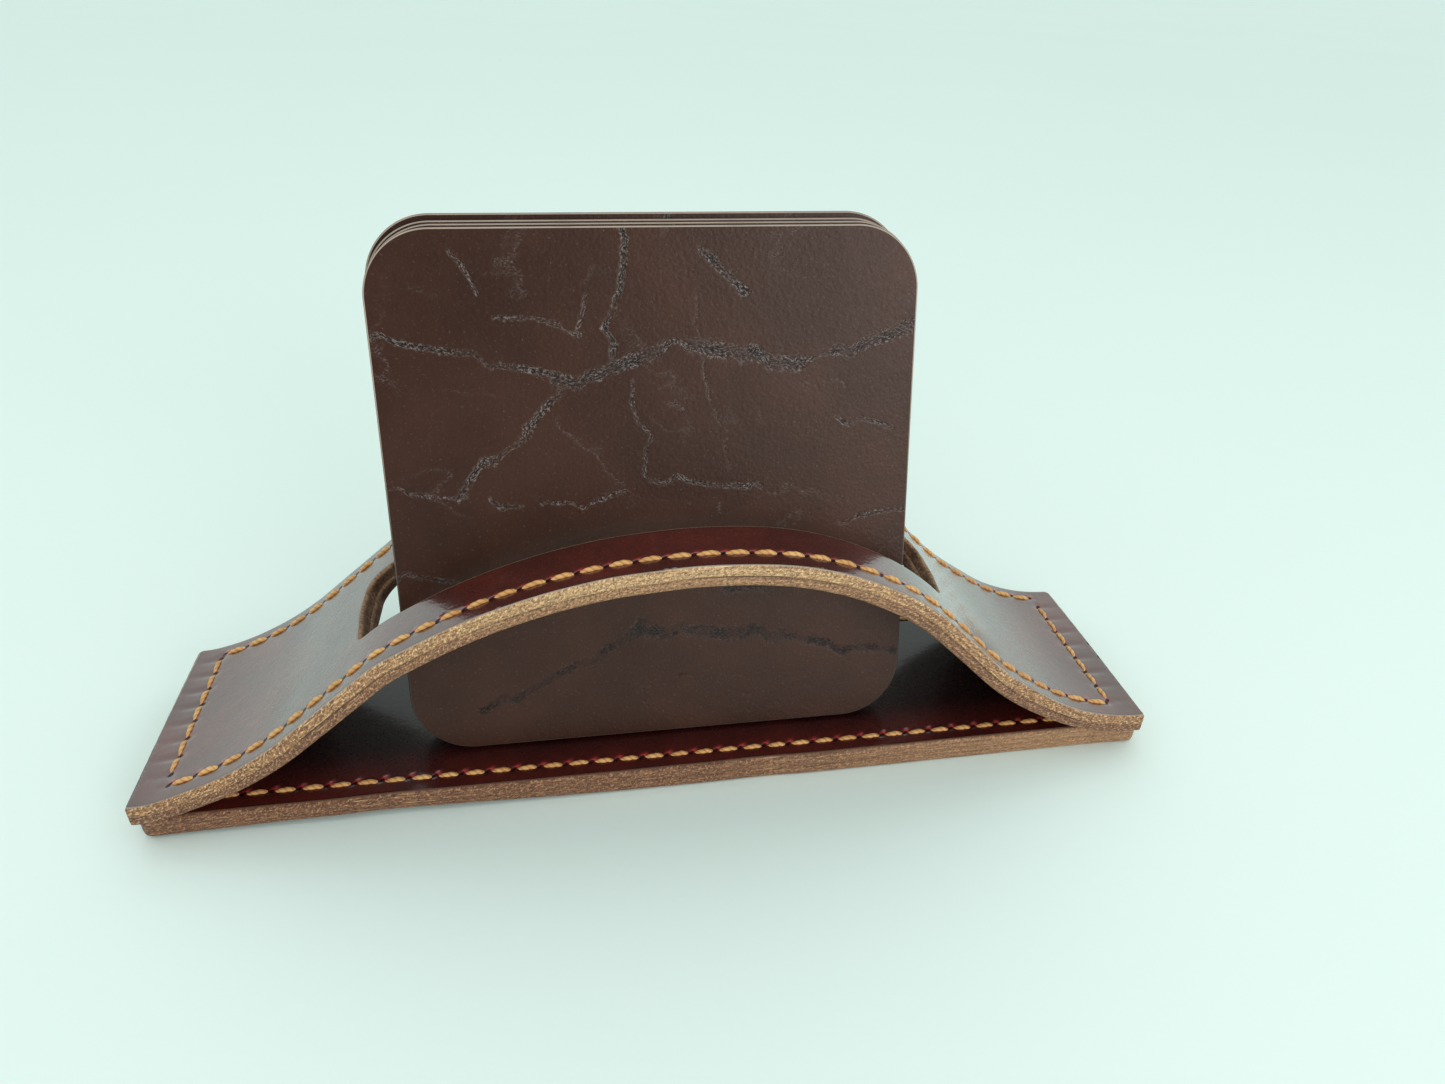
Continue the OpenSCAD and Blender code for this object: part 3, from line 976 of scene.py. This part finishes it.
for label, at in (("left", END_INSET), ("right", STRAP_LEN - END_INSET)):
    seam = Seam(f"{label}_end_stitches", f"{label}_end_seam")
    turn = math.pi / 2
    slant = END_STITCH_SLANT[label]
    for i in range(END_STITCHES):
        v = (i + 0.5 - END_STITCHES / 2) * END_PITCH
        top = v + END_SEAM_SHIFT[label]
        seam.add(on_arch, at, top, 0.12 * MM, 1, turn, 0.98 * END_PITCH, slant, 0.02 * MM)
        x = float(np.interp(at, PATH_S, PATH_X))
        seam.add(on_base, x, v, UNDER_BASE, -1, turn, 0.9 * END_PITCH, 0)
    seam.finish(thread)

# --- Coasters ----------------------------------------------------------------------------------

# Growth marks of the hide on a coaster's face: width and strength, then points across and up
# from the middle of its lower edge, all in millimetres.
GROWTH_MARKS = [
    (1.0, 0.9, [(-51, 82), (-41, 80), (-30, 77), (-18, 74)]),
    (2.0, 1.0, [(-18, 73), (-10, 74), (-3, 77), (1, 79)]),
    (0.9, 0.8, [(1, 79), (7, 79)]),
    (2.3, 1.0, [(7, 79), (13, 78), (20, 76), (27, 75)]),
    (0.8, 0.8, [(27, 75), (34, 77)]),
    (1.9, 1.0, [(34, 77), (42, 79), (51, 82)]),
    (1.0, 1.0, [(-4, 101), (-6, 89), (-8, 82), (-8, 77)]),
    (0.6, 0.8, [(-4, 73), (-4, 68), (-2, 63), (-2, 55)]),
    (1.3, 0.8, [(-17, 71), (-25, 63), (-32, 58), (-37, 52)]),
    (1.3, 0.9, [(9, 96), (13, 92), (17, 88)]),
    (0.7, 0.7, [(-35, 96), (-31, 89)]),
    (1.0, 0.5, [(-28, 85), (-20, 84), (-13, 82), (-12, 88)]),
    (0.7, 0.6, [(-50, 54), (-43, 53), (-35, 52)]),
    (1.0, 0.9, [(-31, 51), (-26, 50)]),
    (0.7, 0.7, [(-22, 50), (-11, 50), (-6, 52)]),
    (1.0, 0.8, [(-1, 54), (8, 53), (15, 52), (20, 51)]),
    (1.1, 0.7, [(3, 68), (5, 67)]),
    (0.6, 0.5, [(8, 88), (9, 74), (12, 65), (14, 56)]),
    (0.9, 0.8, [(35, 64), (40, 64), (45, 62)]),
    (1.0, 0.8, [(36, 44), (45, 45), (51, 46)]),
    (1.9, 1.0, [(-36, 8), (-24, 13), (-12, 19), (-6, 22), (-3, 25)]),
    (2.8, 1.0, [(-3, 23), (6, 22), (16, 21), (24, 20)]),
    (1.7, 1.0, [(24, 20), (36, 16), (51, 14)]),
    (1.8, 1.0, [(13, 31), (22, 30)]),
    (0.8, 0.6, [(-10, 11), (-2, 11), (6, 12)]),
    (0.7, 0.6, [(13, 12), (20, 11)]),
    (0.5, 0.5, [(-4, 11), (-3, 2)]),
    (0.9, 0.8, [(-51, 37), (-44, 37), (-37, 35)]),
]


def growth_marks(across, up, mirror, seed):
    """For each point of a face: how strongly it is marked, and its place along and across the mark."""
    x = across * mirror / MM + 0.8 * wobble(up, seed, 9 * MM)
    y = up / MM + 0.8 * wobble(across, seed + 3, 8 * MM)
    marks = np.zeros((len(x), 3))
    start = 0
    for width, amount, points in GROWTH_MARKS:
        for (ax, ay), (bx, by) in zip(points, points[1:]):
            length = math.hypot(bx - ax, by - ay)
            along = ((x - ax) * (bx - ax) + (y - ay) * (by - ay)) / length
            side = ((y - ay) * (bx - ax) - (x - ax) * (by - ay)) / length
            away = np.hypot(side, along - np.clip(along, 0, length))
            strength = amount * np.exp(-(away / (0.62 * width)) ** 2)
            stronger = strength > marks[:, 0]
            found = np.column_stack((strength, (start + along) * MM, side * MM))
            marks[stronger] = found[stronger]
            start += length
    return marks


coaster_loop = rounded_loop(
    [
        (-COASTER / 2, -COASTER / 2), (COASTER / 2, -COASTER / 2),
        (COASTER / 2, COASTER / 2), (-COASTER / 2, COASTER / 2),
    ],
    [COASTER_R] * 4,
    COASTER_GRID,
)
coaster_sheet = Layer(
    [coaster_loop], COASTER_T, edge_profile(COASTER_T, 0.32 * MM, 0.32 * MM, 0.02 * MM), COASTER_GRID
)
coaster_face = coaster_leather("coaster_leather")
coaster_rim = coaster_edge("coaster_edge")
FACE_UP = np.array([0, math.sin(COASTER_LEAN), math.cos(COASTER_LEAN)])
FACE_BACK = np.array([0, math.cos(COASTER_LEAN), -math.sin(COASTER_LEAN)])

for k in range(1, 5):
    lo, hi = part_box(f"coaster_{k}")
    centre = np.array((lo + hi) / 2) - FACE_BACK * COASTER_T / 2
    u, v, depth = coaster_sheet.points.T
    placed = centre + u[:, None] * [1, 0, 0] + v[:, None] * FACE_UP + depth[:, None] * FACE_BACK
    mirror = 1 if k % 2 else -1
    marked = np.where(
        depth[:, None] < COASTER_T / 2,
        growth_marks(u, v + COASTER / 2, mirror, 2.0 * k),
        growth_marks(u, COASTER / 2 - v, -mirror, 2.0 * k + 1) * [0.6, 1, 1],
    )
    leather_piece(
        f"coaster_{k}_leather", coaster_sheet, placed, [coaster_face, coaster_rim, coaster_face],
        f"coaster_{k}", f"coaster_{k}", [("crease", marked)],
    )

# --- Floor, light and camera ----------------------------------------------------------------------


def pale_floor():
    g = Graph("pale_floor")
    place = Value(g, g.node("ShaderNodeTexCoord").outputs["Object"])
    clouds = g.noise(place, 3.0, 2.0)
    grain = g.noise(place, 900.0, 3.0)
    colour = g.mix(clouds, (0.80, 0.875, 0.85, 1), (0.82, 0.895, 0.87, 1))
    return g.finish(colour, grain * 0.02 * MM, 0.6)


bpy.ops.mesh.primitive_circle_add(vertices=128, radius=12, fill_type="NGON", location=(0, 0, 0))
floor = bpy.context.object
floor.name = "floor"
floor.data.materials.append(pale_floor())

world = bpy.data.worlds.new("soft_room")
world.use_nodes = True
world.node_tree.nodes["Background"].inputs["Color"].default_value = (0.84, 0.95, 0.92, 1)
world.node_tree.nodes["Background"].inputs["Strength"].default_value = 1.0
bpy.context.scene.world = world


def soft_light(name, size, power, place, aim, colour=(1, 1, 1)):
    data = bpy.data.lights.new(name, "AREA")
    data.size = size
    data.energy = power
    data.color = colour
    lamp = bpy.data.objects.new(name, data)
    lamp.location = place
    lamp.rotation_euler = (Vector(aim) - Vector(place)).to_track_quat("-Z", "Y").to_euler()
    bpy.context.scene.collection.objects.link(lamp)
    return lamp


soft_light("overhead", 0.9, 0.5, (-0.1, 0.1, 1.1), (0, 0, 0.03))
soft_light("front_right", 0.4, 1.8, (0.42, -0.78, 0.32), (0.02, 0, 0.06), (1, 0.95, 0.95))
front_fill = soft_light("front_fill", 0.6, 1.5, (-0.25, -0.9, 0.55), (0, -0.05, 0))
front_fill.visible_glossy = False


def dark_flag():
    """A dark card in front of the set, seen only in reflections: it keeps the leather's gloss deep."""
    g = Graph("dark_flag")
    fabric = g.noise(g.attribute("position"), 30.0)
    bpy.ops.mesh.primitive_plane_add(size=1, location=(-0.38, -0.5, 0.45), rotation=(math.pi / 2, 0, 0))
    card = bpy.context.object
    card.name = "dark_flag"
    card.scale = (0.95, 0.9, 1)
    card.data.materials.append(g.finish((0.02, 0.02, 0.02, 1), fabric * 0.1 * MM, 0.9))
    card.visible_camera = False
    card.visible_diffuse = False
    card.visible_shadow = False


dark_flag()

CAMERA_PLACE = (-17.6 * MM, -159.9 * MM, 146.3 * MM)
CAMERA_YAW = 0.1827
CAMERA_PITCH = 0.5589
CAMERA_ROLL = -0.0388
CAMERA_LENS = 24.04

forward = Vector((
    math.sin(CAMERA_YAW) * math.cos(CAMERA_PITCH),
    math.cos(CAMERA_YAW) * math.cos(CAMERA_PITCH),
    -math.sin(CAMERA_PITCH),
))
level = Vector((math.cos(CAMERA_YAW), -math.sin(CAMERA_YAW), 0))
down = forward.cross(level)
right = level * math.cos(CAMERA_ROLL) + down * math.sin(CAMERA_ROLL)
up = level * math.sin(CAMERA_ROLL) - down * math.cos(CAMERA_ROLL)
camera_data = bpy.data.cameras.new("camera")
camera_data.lens = CAMERA_LENS
camera_data.sensor_width = 36
camera_data.clip_start = 0.01
camera = bpy.data.objects.new("camera", camera_data)
camera.matrix_world = Matrix.Translation(CAMERA_PLACE) @ Matrix((right, up, -forward)).transposed().to_4x4()
bpy.context.scene.collection.objects.link(camera)
bpy.context.scene.camera = camera
bpy.context.scene.view_settings.view_transform = "Standard"
bpy.context.scene.view_settings.gamma = 0.86
